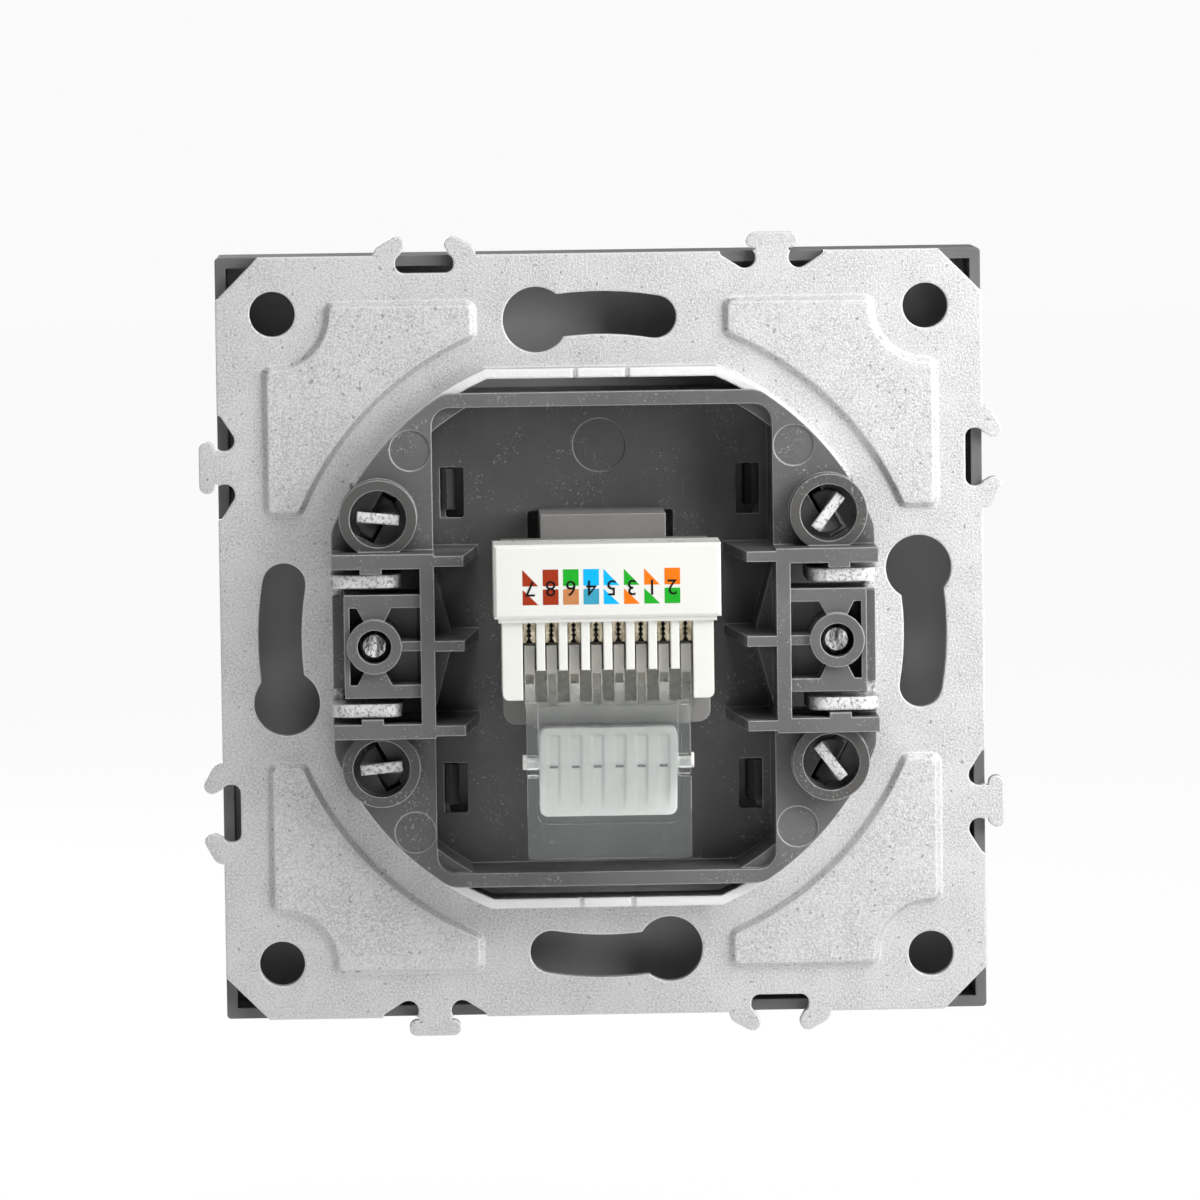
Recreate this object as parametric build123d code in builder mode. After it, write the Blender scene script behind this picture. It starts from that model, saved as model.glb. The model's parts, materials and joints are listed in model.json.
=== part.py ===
from build123d import *
from math import cos, radians, sin, tan
import os

os.makedirs("parts", exist_ok=True)

# Ethernet wall socket insert, in the attitude that it has in the wall. +Z is up, the room is
# on the -Y side and the wall box on the +Y side. The origin is on the socket's axis, on the
# rear face of the metal sheet. Outlines are drawn as the wall box sees them: u runs to that
# viewer's right and v runs up, so u is -X and v is +Z.

# Metal support plate
plate_side = 71.0
sheet = 1.2
corner_cut = 4.0
fixing_hole_spacing = 60.5
fixing_hole_d = 4.2
interlock_offset = 16.1
tenon_head_r = 0.7
tenon_head_length = 1.45
tenon_head_width = 4.8
tenon_reach = 1.73
tenon_neck = 3.05
tenon_notch_r = 0.98
tenon_notch_depth = 1.58
tenon_notch_width = 9.7
tenon_notch_end_r = 0.5
claw_cavity_width = 5.4
claw_cavity_depth = 1.63
claw_cavity_r = 0.8
claw_tip_r = 0.75
claw_reach = 1.75
claw_gap = 3.7
claw_root_r = 1.15
claw_root_place = 3.6
keyhole_circle_r = 30.0
keyhole_head_r = 3.05
keyhole_slot = 4.0
keyhole_head_angle = 11.3
keyhole_end_angle = 9.9
pad_rise = 0.65
pad_outer = 31.35
pad_end = 11.4
pad_inner_r = 30.0
pad_relief_r = 4.75
pad_corner_r = 1.0
pad_slope = 40.0
opening_r = 26.35
opening_flat = 24.15
collar_wall = 0.88
collar_height = 3.05
collar_nick = 0.4
collar_nick_place = 2.4
ear_inner_from_flat = 5.45
ear_top = 14.2
tab_gap_half = 5.35
tab_past_flat = 1.05
tab_height = 8.0
tab_corner_r = 1.6
lug_inside_opening = 2.6
lug_angle = 29.1
lug_width = 4.3
lug_shoulder = 1.1
blade_width = 3.9
blade_thickness = 0.95
blade_twist = 66.5
twist_length = 1.0
twist_steps = 2
blade_top = 5.3

# Plastic carrier
fit = 0.15
flange_past_opening = 0.75
flange_past_flat = 0.95
flange_inside_flat = 1.25
flange_thickness = 1.0
flange_corner_r = 2.5
spigot_depth = 1.0
cavity_beside_flat = 8.45
cavity_wall = 1.3
cavity_corner_r = 1.7
floor_rear = -4.5
floor_thickness = 1.3
boss_r = 3.58
boss_bore_r = 2.62
boss_top = 6.0
boss_floor = 3.6
boss_slot_length = 4.7
boss_slot_width = 1.6
bracket_top = 9.0
bracket_half = 8.5
bracket_wall = 1.3
rail_thickness = 1.35
nib_width = 2.0
nib_height = 0.45
nib_from_flat = 2.65
screw_box_half = 4.75
screw_box_bar = 1.2
screw_box_inside_flat = 0.15
screw_box_end_wall = 0.5
screw_box_top = 8.4
screw_from_flat = 2.9
screw_boss_r = 2.5
screw_bore_r = 1.55
screw_seat = 1.0
screw_rib = 0.9
rib_foot = 1.6
edge_strip_half = 4.25
fin_thickness = 0.95
fin_offset = 7.8
fin_flat = 2.7
fin_foot = 4.3
window_from_wall = 0.8
window_rows = (13.2, -14.5)
window_width = 2.2
window_height = 4.7
window_corner_r = 0.3
window_ledge_width = 0.5
window_ledge_depth = 0.7
ejector_d = 3.8
ejector_place = 17.7
ejector_depth = 0.15
floor_mark_d = 5.0
floor_mark_v = 17.45
wall_bulge = 1.5
wall_bulge_half = 6.5
wall_bulge_flat = 1.0
wall_bulge_top = 2.0

# Front cover
cover_side = 71.0
cover_front = -9.5
cover_wall = 1.0
cover_face = 1.5
cover_corner_r = 0.4
cover_front_chamfer = 0.35
cover_gap = 0.05
bezel_margin = 0.2
bezel_chamfer = 0.45
hook_thickness = 0.75
hook_width = 3.8
hook_offset = 0.3
hook_sink = 0.15

# Jack: moulded housing, circuit board and base
port_width = 11.9
port_height = 6.85
port_top = 4.5
latch_notch_width = 6.2
latch_notch_depth = 1.95
port_depth = 13.4
housing_side_wall = 0.7
housing_half_height = 8.0
housing_rear = 6.5
housing_front_gap = 0.05
housing_flange_thickness = 1.5
lever_width = 11.6
lever_thickness = 1.4
lever_root = 1.5
lever_top = 11.2
lever_catch = 0.4
lever_end = 4.0
lever_grip_length = 2.5
lever_grip_height = 3.1
shoulder_height = 0.8
board_half_width = 8.2
board_top = 8.2
board_bottom = -6.0
board_thickness = 1.2
base_wall = 1.15
base_thickness = 1.5
base_top = 9.5
base_corner_r = 1.2

# Wiring block with its contacts
way_count = 8
way_pitch = 2.04
way_slot = 1.25
way_end = 2.67
way_end_chamfer = 0.28
leg_corner_r = 0.6
header_half_width = 10.35
header_top = 9.65
header_bottom = 2.9
header_rear = 15.0
header_wall = 1.1
header_bevel = 0.25
header_lip = 0.4
comb_rear = 14.3
tooth_tip = -1.91
leg_tip = -4.6
leg_outer = 9.65
idc_width = 1.17
idc_thickness = 0.5
idc_rear = 12.6
idc_tip = 0.5
idc_slit = 0.2
idc_slit_end = 3.2
idc_flare = 0.6
idc_barb = 0.1
idc_barb_count = 4
idc_rows = (4.6, 7.9)
pin_width = 0.6
hole_clearance = 0.05

# Jack contacts
contact_pitch = 1.02
contact_width = 0.46
contact_thickness = 0.35
contact_rows = (5.5, 6.5)
contact_front_gap = 1.2
contact_tip_v = 2.4
contact_tip_y = 0.8
contact_bend_r = 0.45
channel_half_width = 4.4
channel_top = 7.0

# Wire guide and clear press cover
pivot_v = -10.6
pivot_y = 11.0
pivot_r = 0.7
pivot_clearance = 0.05
pivot_proud = 0.35
guide_half_width = 6.3
guide_top_gap = 0.08
guide_front = 8.2
guide_rear = 12.0
guide_fold = -10.8
guide_end = -15.75
guide_slope = 25.0
guide_corner_r = 0.75
guide_arm_width = 9.0
guide_arm_thickness = 1.2
guide_arm_front = 1.5
guide_edge = 0.5
flute_count = 6
flute_pitch = 2.01
flute_width = 1.05
flute_depth = 0.35
flute_top_depth = 0.12
flute_margin = 0.7
press_half_width = 7.5
press_thickness = 1.1
press_gap = 0.3
press_side_gap = 0.1
press_top = -4.9
press_end = -19.35
press_corner_r = 0.4
press_arm_front = 9.9
press_arm_end = -11.9
pillar_width = 0.95
pillar_top = 0.3
pillar_front = 10.2
press_bar_top = -2.1
press_bar_rear = 11.5
press_well_width = 0.75
press_well_depth = 0.9
press_well_top = -2.3
press_well_short_end = -3.2
press_well_long_end = -5.3
pocket_depth = 0.3
pocket_margin = 0.35

# Clamp screws
screw_r = 1.45
screw_tip_r = 1.05
screw_tip = 7.6
screw_tip_cone = 0.6
screw_head_r = 2.6
screw_head_height = 2.0
recess_length = 3.2
recess_width = 0.8
recess_depth = 1.2

# How far a shape runs into its neighbour, so that the two join
bite = 0.5

# Values that follow from the sizes above
half = plate_side / 2
collar_end = collar_height
ear_inner = opening_flat - ear_inner_from_flat
tab_end = opening_flat + tab_past_flat
lug_circle_r = opening_r - lug_inside_opening
flange_r = opening_r + flange_past_opening
flange_half_width = opening_flat + flange_past_flat
flange_half_height = opening_flat - flange_inside_flat
cavity_half_width = opening_flat - cavity_beside_flat
nib_place = opening_flat - nib_from_flat
screw_box_end = opening_flat - screw_box_inside_flat
screw_place = opening_flat - screw_from_flat
window_outer = cavity_half_width - window_from_wall
window_inner = window_outer - window_width
window_ledge_start = window_outer - window_ledge_width
window_ledge = floor_rear - window_ledge_depth
hook_outer = window_outer - fit
hook_stem = window_ledge_start - fit
flange_rear = collar_end + flange_thickness
spigot_front = collar_end - spigot_depth
floor_front = floor_rear - floor_thickness
cavity_outer = cavity_half_width + cavity_wall
cavity_half_height = flange_half_height - cavity_wall
tab_outer = tab_gap_half + sheet
lugs = [
    (
        lug_circle_r * cos(radians(angle)),
        lug_circle_r * sin(radians(angle)),
        angle + 90,
        -blade_twist if angle < 180 else blade_twist,
    )
    for angle in (lug_angle, 180 - lug_angle, 180 + lug_angle, 360 - lug_angle)
]
lug_places = [(lug_u, lug_v) for lug_u, lug_v, turn, twist in lugs]
rail_inner = bracket_half - rail_thickness
cover_inner = cover_front + cover_face
cover_rim = -sheet - cover_gap
housing_half_width = port_width / 2 + housing_side_wall
housing_front = cover_inner + housing_front_gap
port_bottom = port_top - port_height
jack_hole_half = housing_half_width + fit
jack_hole_top = lever_top + fit
jack_hole_bottom = -housing_half_height - fit
board_rear = housing_rear + board_thickness
base_half_width = board_half_width + fit + base_wall
base_bottom = board_bottom - fit - base_wall
base_rear = board_rear + base_thickness
base_front = housing_rear - housing_flange_thickness
guide_top = base_bottom - guide_top_gap
press_front = guide_rear + press_gap
press_rear = press_front + press_thickness
idc_barb_pitch = (idc_slit_end - idc_tip) / (idc_barb_count + 2)
slot_places = [(n - (way_count - 1) / 2) * way_pitch for n in range(way_count)]
contact_places = [(n - (way_count - 1) / 2) * contact_pitch for n in range(way_count)]


def rear(depth):
    """Drawing plane parallel to the wall at Y = depth, seen from the wall box."""
    return Plane(origin=(0, depth, 0), x_dir=(-1, 0, 0), z_dir=(0, 1, 0))


def side(u):
    """Drawing plane across the wall at one u: local x is v, local y is Y."""
    return Plane(origin=(-u, 0, 0), x_dir=(0, 0, 1), z_dir=(-1, 0, 0))


def level(v):
    """Drawing plane at one height: local x is u, local y is Y."""
    return Plane(origin=(0, 0, v), x_dir=(-1, 0, 0), z_dir=(0, 0, -1))


def corners(u, v):
    """The four places that mirror (u, v) left to right and up to down."""
    return [(u, v), (-u, v), (-u, -v), (u, -v)]


def block(u0, u1, v0, v1, mode=Mode.ADD):
    """Rectangle given by its edges, in the sketch that is being drawn."""
    with Locations(((u0 + u1) / 2, (v0 + v1) / 2)):
        Rectangle(abs(u1 - u0), abs(v1 - v0), mode=mode)


def round_with_flats(radius, flat_u, flat_v):
    """Circle cut by four flats, in the sketch that is being drawn."""
    Circle(radius)
    Rectangle(2 * flat_u, 2 * flat_v, mode=Mode.INTERSECT)


# Side profile of the plate, x outward from the edge and y along it: the tenon and the two
# scoops that free it
with BuildSketch() as tenon_notch:
    with BuildSketch(mode=Mode.PRIVATE) as scoop:
        with Locations((tenon_notch_r - tenon_notch_depth, tenon_neck / 2 + tenon_notch_r)):
            Circle(tenon_notch_r)
        with Locations((0, tenon_notch_width / 2 - tenon_notch_end_r)):
            Circle(tenon_notch_end_r)
        make_hull()
    add(scoop.sketch)
    mirror(about=Plane.XZ)

with BuildSketch() as tenon:
    with Locations((tenon_reach - tenon_head_length / 2, 0)):
        RectangleRounded(tenon_head_length, tenon_head_width, tenon_head_r)
    block(-tenon_notch_depth - bite, tenon_reach - tenon_head_r, -tenon_neck / 2, tenon_neck / 2)

# The matching claw: two hooks round a cavity, each a rounded tip that grows out of a wider root
with BuildSketch() as claw_hooks:
    with BuildSketch(mode=Mode.PRIVATE) as hook:
        with Locations((claw_reach - claw_tip_r, claw_gap / 2 + claw_tip_r)):
            Circle(claw_tip_r)
        with Locations((0, claw_root_place)):
            Circle(claw_root_r)
        make_hull()
    add(hook.sketch)
    mirror(about=Plane.XZ)

with BuildSketch() as claw_cavity:
    block(-claw_cavity_depth, fit, -claw_cavity_width / 2, claw_cavity_width / 2)
    fillet(claw_cavity.vertices(), claw_cavity_r)

# Keyhole of one side, drawn at the top of the circle that it lies on
keyhole_head = (
    -keyhole_circle_r * sin(radians(keyhole_head_angle)),
    keyhole_circle_r * cos(radians(keyhole_head_angle)),
)
with BuildSketch() as keyhole:
    with BuildLine() as keyhole_path:
        CenterArc((0, 0), keyhole_circle_r, 90 - keyhole_end_angle, keyhole_end_angle + keyhole_head_angle)
    SlotArc(keyhole_path.wire(), keyhole_slot)
    with Locations(keyhole_head):
        Circle(keyhole_head_r)

# Raised pad of the top right corner
with BuildSketch() as corner_pad:
    block(pad_end, pad_outer, pad_end, pad_outer)
    Circle(pad_inner_r, mode=Mode.SUBTRACT)
    with Locations((fixing_hole_spacing / 2, fixing_hole_spacing / 2)):
        Circle(pad_relief_r, mode=Mode.SUBTRACT)
    fillet(corner_pad.vertices(), pad_corner_r)
with BuildSketch() as pad_hollow:
    offset(corner_pad.sketch, -sheet / 2)

with BuildPart() as support_plate:
    with BuildSketch(rear(-sheet)) as plate_outline:
        Rectangle(plate_side, plate_side)
        chamfer(plate_outline.vertices(), corner_cut)
        with PolarLocations(half, 4):
            with Locations((0, -interlock_offset)):
                add(tenon_notch.sketch, mode=Mode.SUBTRACT)
                add(tenon.sketch)
            with Locations((0, interlock_offset)):
                add(claw_hooks.sketch)
                add(claw_cavity.sketch, mode=Mode.SUBTRACT)
        with PolarLocations(0, 4):
            add(keyhole.sketch, mode=Mode.SUBTRACT)
        with GridLocations(fixing_hole_spacing, fixing_hole_spacing, 2, 2):
            Circle(fixing_hole_d / 2, mode=Mode.SUBTRACT)
        with BuildSketch(mode=Mode.PRIVATE) as opening:
            round_with_flats(opening_r, opening_flat, opening_flat)
        add(opening.sketch, mode=Mode.SUBTRACT)
        for right in (-1, 1):
            for up in (-1, 1):
                block(right * ear_inner, right * (opening_flat + sheet), up * tab_gap_half, up * ear_top)
    extrude(amount=sheet)

    # Pads pressed out to the rear, with the hollow that the press leaves in front
    with BuildSketch(rear(0)):
        with PolarLocations(0, 4):
            add(corner_pad.sketch)
    extrude(amount=pad_rise, taper=pad_slope)
    with BuildSketch(rear(-sheet)):
        with PolarLocations(0, 4):
            add(pad_hollow.sketch)
    extrude(amount=pad_rise, mode=Mode.SUBTRACT)

    # Collar drawn to the rear round the opening, left out beside the tabs and lugs
    with BuildSketch(rear(0)):
        round_with_flats(opening_r + collar_wall, opening_flat + collar_wall, opening_flat + collar_wall)
        with BuildSketch(mode=Mode.PRIVATE) as collar_bore:
            round_with_flats(opening_r, opening_flat, opening_flat)
        add(collar_bore.sketch, mode=Mode.SUBTRACT)
        for right in (-1, 1):
            for up in (-1, 1):
                block(right * ear_inner, right * half, up * tab_outer, up * ear_top, mode=Mode.SUBTRACT)
    extrude(amount=collar_height)
    with BuildSketch(rear(collar_height - collar_nick)):
        for place in (-collar_nick_place, collar_nick_place):
            block(place - collar_nick / 2, place + collar_nick / 2, -half, half)
    extrude(amount=collar_nick, mode=Mode.SUBTRACT)

    # Guide tabs bent to the rear on both sides of each screw
    for up in (-1, 1):
        with BuildSketch(level(up * tab_gap_half)) as tabs:
            block(-tab_end, -ear_inner, -sheet, tab_height)
            block(ear_inner, tab_end, -sheet, tab_height)
            fillet(tabs.vertices().group_by(Axis.Y)[-1], tab_corner_r)
        extrude(amount=-up * sheet)

    # Lugs that pass through the carrier and are twisted to hold it: strip, neck, twist and blade
    with BuildSketch(rear(-sheet / 2)):
        for lug_u, lug_v, turn, twist in lugs:
            with Locations((lug_u, lug_v)):
                Rectangle(lug_width, sheet, rotation=turn)
    extrude(amount=lug_shoulder + sheet / 2)
    with BuildSketch(rear(lug_shoulder)):
        for lug_u, lug_v, turn, twist in lugs:
            with Locations((lug_u, lug_v)):
                Rectangle(blade_width, blade_thickness, rotation=turn)
    extrude(amount=boss_floor - lug_shoulder)
    for lug_u, lug_v, turn, twist in lugs:
        for step in range(twist_steps + 1):
            with BuildSketch(rear(boss_floor + twist_length * step / twist_steps)):
                with Locations((lug_u, lug_v)):
                    Rectangle(blade_width, blade_thickness, rotation=turn + twist * step / twist_steps)
        loft()
    with BuildSketch(rear(boss_floor + twist_length)):
        for lug_u, lug_v, turn, twist in lugs:
            with Locations((lug_u, lug_v)):
                Rectangle(blade_width, blade_thickness, rotation=turn + twist)
    extrude(amount=blade_top - boss_floor - twist_length)
support_plate.part.label = "support_plate"
export_step(support_plate.part, "parts/support_plate.step")

with BuildPart() as carrier:
    # Flange on the collar's end, and the spigot that centres it inside the collar
    with BuildSketch(rear(collar_end)) as flange:
        round_with_flats(flange_r, flange_half_width, flange_half_height)
        fillet(flange.vertices(), flange_corner_r)
    extrude(amount=flange_thickness)
    with BuildSketch(rear(spigot_front)) as spigot:
        round_with_flats(opening_r - fit, opening_flat - fit, flange_half_height)
        fillet(spigot.vertices(), flange_corner_r)
    extrude(amount=spigot_depth)

    # Walls and floor of the deep cavity, cut back at the corners to pass through the collar
    with BuildSketch(rear(floor_front)):
        RectangleRounded(2 * cavity_outer, 2 * flange_half_height, cavity_corner_r + cavity_wall)
        Circle(opening_r - fit, mode=Mode.INTERSECT)
    extrude(amount=flange_rear - floor_front)

    # Brackets on both sides: wall, two rails, and the box round the screw boss
    with BuildSketch(rear(spigot_front)):
        for right in (-1, 1):
            block(right * cavity_half_width, right * (cavity_half_width + bracket_wall), -bracket_half, bracket_half)
            for up in (-1, 1):
                block(right * cavity_half_width, right * flange_half_width, up * rail_inner, up * bracket_half)
                with Locations((right * nib_place, up * (rail_inner - nib_height / 2))):
                    Rectangle(nib_width, nib_height)
    extrude(amount=bracket_top - spigot_front)
    with BuildSketch(rear(spigot_front)):
        for right in (-1, 1):
            for up in (-1, 1):
                block(
                    right * cavity_outer, right * screw_box_end,
                    up * (screw_box_half - screw_box_bar), up * screw_box_half,
                )
                with BuildLine():
                    Polyline(
                        (right * (screw_place - rib_foot), up * (screw_box_half - screw_box_bar)),
                        (right * (screw_place - rib_foot / 2), up * screw_boss_r * 0.8),
                        (right * (screw_place + rib_foot / 2), up * screw_boss_r * 0.8),
                        (right * (screw_place + rib_foot), up * (screw_box_half - screw_box_bar)),
                        close=True,
                    )
                make_face()
            block(
                right * (screw_box_end - screw_box_end_wall), right * screw_box_end,
                -screw_box_half, screw_box_half,
            )
            block(right * cavity_outer, right * (screw_place - screw_bore_r), -screw_rib / 2, screw_rib / 2)
    extrude(amount=screw_box_top - spigot_front)
    with BuildSketch(rear(screw_seat)):
        with Locations((-screw_place, 0), (screw_place, 0)):
            Circle(screw_boss_r)
    extrude(amount=bracket_top - screw_seat)

    # Bosses round the twisted lugs
    with BuildSketch(rear(collar_end)):
        with Locations(*lug_places):
            Circle(boss_r)
    extrude(amount=boss_top - collar_end)
    with BuildSketch(rear(boss_floor)):
        with Locations(*lug_places):
            Circle(boss_bore_r)
    extrude(amount=bracket_top - boss_floor, mode=Mode.SUBTRACT)

    # The cavity itself, with a ledge at each corner where the collar leaves less room, and its fins
    with BuildSketch(rear(collar_end)):
        RectangleRounded(2 * cavity_half_width, 2 * cavity_half_height, cavity_corner_r)
    extrude(amount=bracket_top - collar_end, mode=Mode.SUBTRACT)
    with BuildSketch(rear(floor_rear)):
        RectangleRounded(2 * cavity_half_width, 2 * cavity_half_height, cavity_corner_r)
        Circle(opening_r - fit - cavity_wall, mode=Mode.INTERSECT)
    extrude(amount=collar_end - floor_rear, mode=Mode.SUBTRACT)
    for centre in (-fin_offset, 0, fin_offset):
        with BuildSketch(level(centre)):
            for right in (-1, 1):
                with BuildLine():
                    Polyline(
                        (right * (cavity_half_width + bracket_wall / 2), bracket_top),
                        (right * (cavity_half_width - fin_flat), bracket_top),
                        (right * (cavity_half_width - fin_foot), floor_rear - floor_thickness / 2),
                        (right * (cavity_half_width + bracket_wall / 2), floor_rear - floor_thickness / 2),
                        close=True,
                    )
                make_face()
        extrude(amount=fin_thickness / 2, both=True)

    # Bulge of the cavity's side walls behind the screws
    with BuildSketch(rear(floor_rear - bite)):
        for right in (-1, 1):
            with BuildLine():
                Polyline(
                    (right * (cavity_half_width + bite), wall_bulge_half),
                    (right * cavity_half_width, wall_bulge_half),
                    (right * (cavity_half_width - wall_bulge), wall_bulge_flat),
                    (right * (cavity_half_width - wall_bulge), -wall_bulge_flat),
                    (right * cavity_half_width, -wall_bulge_half),
                    (right * (cavity_half_width + bite), -wall_bulge_half),
                    close=True,
                )
            make_face()
    extrude(amount=wall_bulge_top - floor_rear + bite)

    # Openings: lug slots, tab gaps, screw bores, jack seat and snap windows
    with BuildSketch(rear(spigot_front)):
        for lug_u, lug_v, turn, twist in lugs:
            with Locations((lug_u, lug_v)):
                Rectangle(boss_slot_length, boss_slot_width, rotation=turn)
        for right in (-1, 1):
            for up in (-1, 1):
                block(
                    right * (cavity_half_width + bracket_wall), right * (flange_half_width + bite),
                    up * screw_box_half, up * (rail_inner - nib_height),
                )
                block(
                    right * screw_box_end, right * (flange_half_width + bite),
                    up * edge_strip_half, up * screw_box_half,
                )
    extrude(amount=flange_rear - spigot_front, mode=Mode.SUBTRACT)
    with BuildSketch(rear(screw_seat)):
        with Locations((-screw_place, 0), (screw_place, 0)):
            Circle(screw_bore_r)
    extrude(amount=bracket_top - screw_seat, mode=Mode.SUBTRACT)
    with BuildSketch(rear(floor_front)) as floor_openings:
        block(-jack_hole_half, jack_hole_half, jack_hole_bottom, jack_hole_top)
        for right in (-1, 1):
            for row in window_rows:
                block(
                    right * window_inner, right * window_ledge_start,
                    row - window_height / 2, row + window_height / 2,
                )
        fillet(floor_openings.vertices(), window_corner_r)
    extrude(amount=floor_thickness, mode=Mode.SUBTRACT)
    with BuildSketch(rear(window_ledge)):
        for right in (-1, 1):
            for row in window_rows:
                block(
                    right * (window_ledge_start - window_corner_r), right * window_outer,
                    row - window_height / 2, row + window_height / 2,
                )
    extrude(amount=window_ledge_depth, mode=Mode.SUBTRACT)

    # Round marks that the mould's ejector pins leave
    with BuildSketch(rear(flange_rear - ejector_depth)):
        with Locations(*corners(ejector_place, ejector_place)):
            Circle(ejector_d / 2)
    extrude(amount=ejector_depth, mode=Mode.SUBTRACT)
    with BuildSketch(rear(floor_rear - ejector_depth)):
        with Locations((0, floor_mark_v)):
            Circle(floor_mark_d / 2)
    extrude(amount=ejector_depth, mode=Mode.SUBTRACT)
carrier.part.label = "carrier"
export_step(carrier.part, "parts/carrier.step")

with BuildPart() as front_cover:
    with BuildSketch(rear(cover_front)):
        RectangleRounded(cover_side, cover_side, cover_corner_r)
    extrude(amount=cover_rim - cover_front)
    chamfer(front_cover.faces().sort_by(Axis.Y)[0].edges(), cover_front_chamfer)
    with BuildSketch(rear(cover_inner)):
        Rectangle(cover_side - 2 * cover_wall, cover_side - 2 * cover_wall)
    extrude(amount=cover_rim - cover_inner, mode=Mode.SUBTRACT)
    with BuildSketch(rear(cover_front)):
        block(
            -port_width / 2 - bezel_margin, port_width / 2 + bezel_margin,
            port_bottom - bezel_margin, port_top + bezel_margin,
        )
        block(
            -latch_notch_width / 2 - bezel_margin, latch_notch_width / 2 + bezel_margin,
            port_bottom - latch_notch_depth - bezel_margin, port_bottom,
        )
    extrude(amount=cover_face, mode=Mode.SUBTRACT)
    chamfer(front_cover.faces().sort_by(Axis.Y)[0].inner_wires()[0].edges(), bezel_chamfer)

    # Snap hooks that catch on the ledges in the windows of the carrier's floor
    for right in (-1, 1):
        for row in window_rows:
            with BuildSketch(level(row + hook_offset)):
                with BuildLine():
                    Polyline(
                        (right * (hook_stem - hook_thickness), cover_inner),
                        (right * hook_stem, cover_inner),
                        (right * hook_stem, window_ledge + cover_gap),
                        (right * hook_outer, window_ledge + cover_gap),
                        (right * hook_outer, floor_rear - hook_sink),
                        (right * hook_stem, floor_rear - hook_sink),
                        (right * (hook_stem - hook_thickness), window_ledge),
                        close=True,
                    )
                make_face()
            extrude(amount=hook_width / 2, both=True)
front_cover.part.label = "front_cover"
export_step(front_cover.part, "parts/front_cover.step")

with BuildPart() as jack_housing:
    with BuildSketch(rear(housing_front)):
        Rectangle(2 * housing_half_width, 2 * housing_half_height)
    extrude(amount=base_front - housing_front)
    with BuildSketch(rear(base_front)):
        block(-board_half_width, board_half_width, board_bottom, board_top)
    extrude(amount=housing_flange_thickness)

    # Lever that snaps behind the carrier's floor, and the lips below
    with BuildSketch(side(-lever_width / 2)):
        with BuildLine():
            Polyline(
                (housing_half_height - bite, housing_front),
                (lever_top + shoulder_height, housing_front),
                (lever_top + shoulder_height, floor_front - housing_front_gap),
                (lever_top, floor_front - housing_front_gap),
                (lever_top, floor_rear + housing_front_gap),
                (lever_top + lever_catch, floor_rear + housing_front_gap),
                (lever_top + lever_catch, lever_end),
                (lever_top + lever_catch - lever_grip_height, lever_end),
                (lever_top + lever_catch - lever_grip_height, lever_end - lever_grip_length),
                (lever_top - lever_thickness, lever_end - lever_grip_length),
                (lever_top - lever_thickness, housing_front + lever_root),
                (housing_half_height - bite, housing_front + lever_root),
                close=True,
            )
        make_face()
    extrude(amount=lever_width)
    with BuildSketch(side(-lever_width / 2)):
        block(
            -housing_half_height - shoulder_height, bite - housing_half_height,
            housing_front, floor_front - housing_front_gap,
        )
        with BuildLine():
            Polyline(
                (bite - housing_half_height, floor_rear + housing_front_gap),
                (-housing_half_height - shoulder_height, floor_rear + housing_front_gap),
                (-housing_half_height, floor_rear + 2 * shoulder_height),
                (bite - housing_half_height, floor_rear + 2 * shoulder_height),
                close=True,
            )
        make_face()
    extrude(amount=lever_width)

    # Plug port with the latch notch below and the contact channel above
    with BuildSketch(rear(housing_front)):
        block(-port_width / 2, port_width / 2, port_bottom, port_top)
        block(
            -latch_notch_width / 2, latch_notch_width / 2,
            port_bottom - latch_notch_depth, port_bottom,
        )
    extrude(amount=port_depth, mode=Mode.SUBTRACT)
    with BuildSketch(rear(housing_front + contact_front_gap)):
        block(-channel_half_width, channel_half_width, port_top, channel_top)
    extrude(amount=housing_rear - housing_front - contact_front_gap, mode=Mode.SUBTRACT)
jack_housing.part.label = "jack_housing"
export_step(jack_housing.part, "parts/jack_housing.step")

with BuildPart() as circuit_board:
    with BuildSketch(rear(housing_rear)):
        block(-board_half_width, board_half_width, board_bottom, board_top)
        for n in range(way_count):
            with Locations((slot_places[n], idc_rows[n % 2])):
                Rectangle(
                    pin_width + 2 * hole_clearance, idc_thickness + 2 * hole_clearance,
                    mode=Mode.SUBTRACT,
                )
            with Locations((contact_places[n], contact_rows[n % 2])):
                Rectangle(
                    contact_width + 2 * hole_clearance, contact_thickness + 2 * hole_clearance,
                    mode=Mode.SUBTRACT,
                )
    extrude(amount=board_thickness)
circuit_board.part.label = "circuit_board"
export_step(circuit_board.part, "parts/circuit_board.step")

with BuildPart() as jack_base:
    with BuildSketch(rear(base_front)) as base_outline:
        block(-base_half_width, base_half_width, base_bottom, base_top)
        fillet(base_outline.vertices().group_by(Axis.Y)[0], base_corner_r)
    extrude(amount=base_rear - base_front)
    with BuildSketch(rear(base_front)):
        block(-board_half_width - fit, board_half_width + fit, board_bottom - fit, board_top + fit)
    extrude(amount=board_rear - base_front, mode=Mode.SUBTRACT)
    with BuildSketch(rear(board_rear)):
        for n in range(way_count):
            with Locations((slot_places[n], idc_rows[n % 2])):
                Rectangle(pin_width + 2 * hole_clearance, idc_thickness + 2 * hole_clearance)
    extrude(amount=base_thickness, mode=Mode.SUBTRACT)
jack_base.part.label = "jack_base"
export_step(jack_base.part, "parts/jack_base.step")

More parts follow.
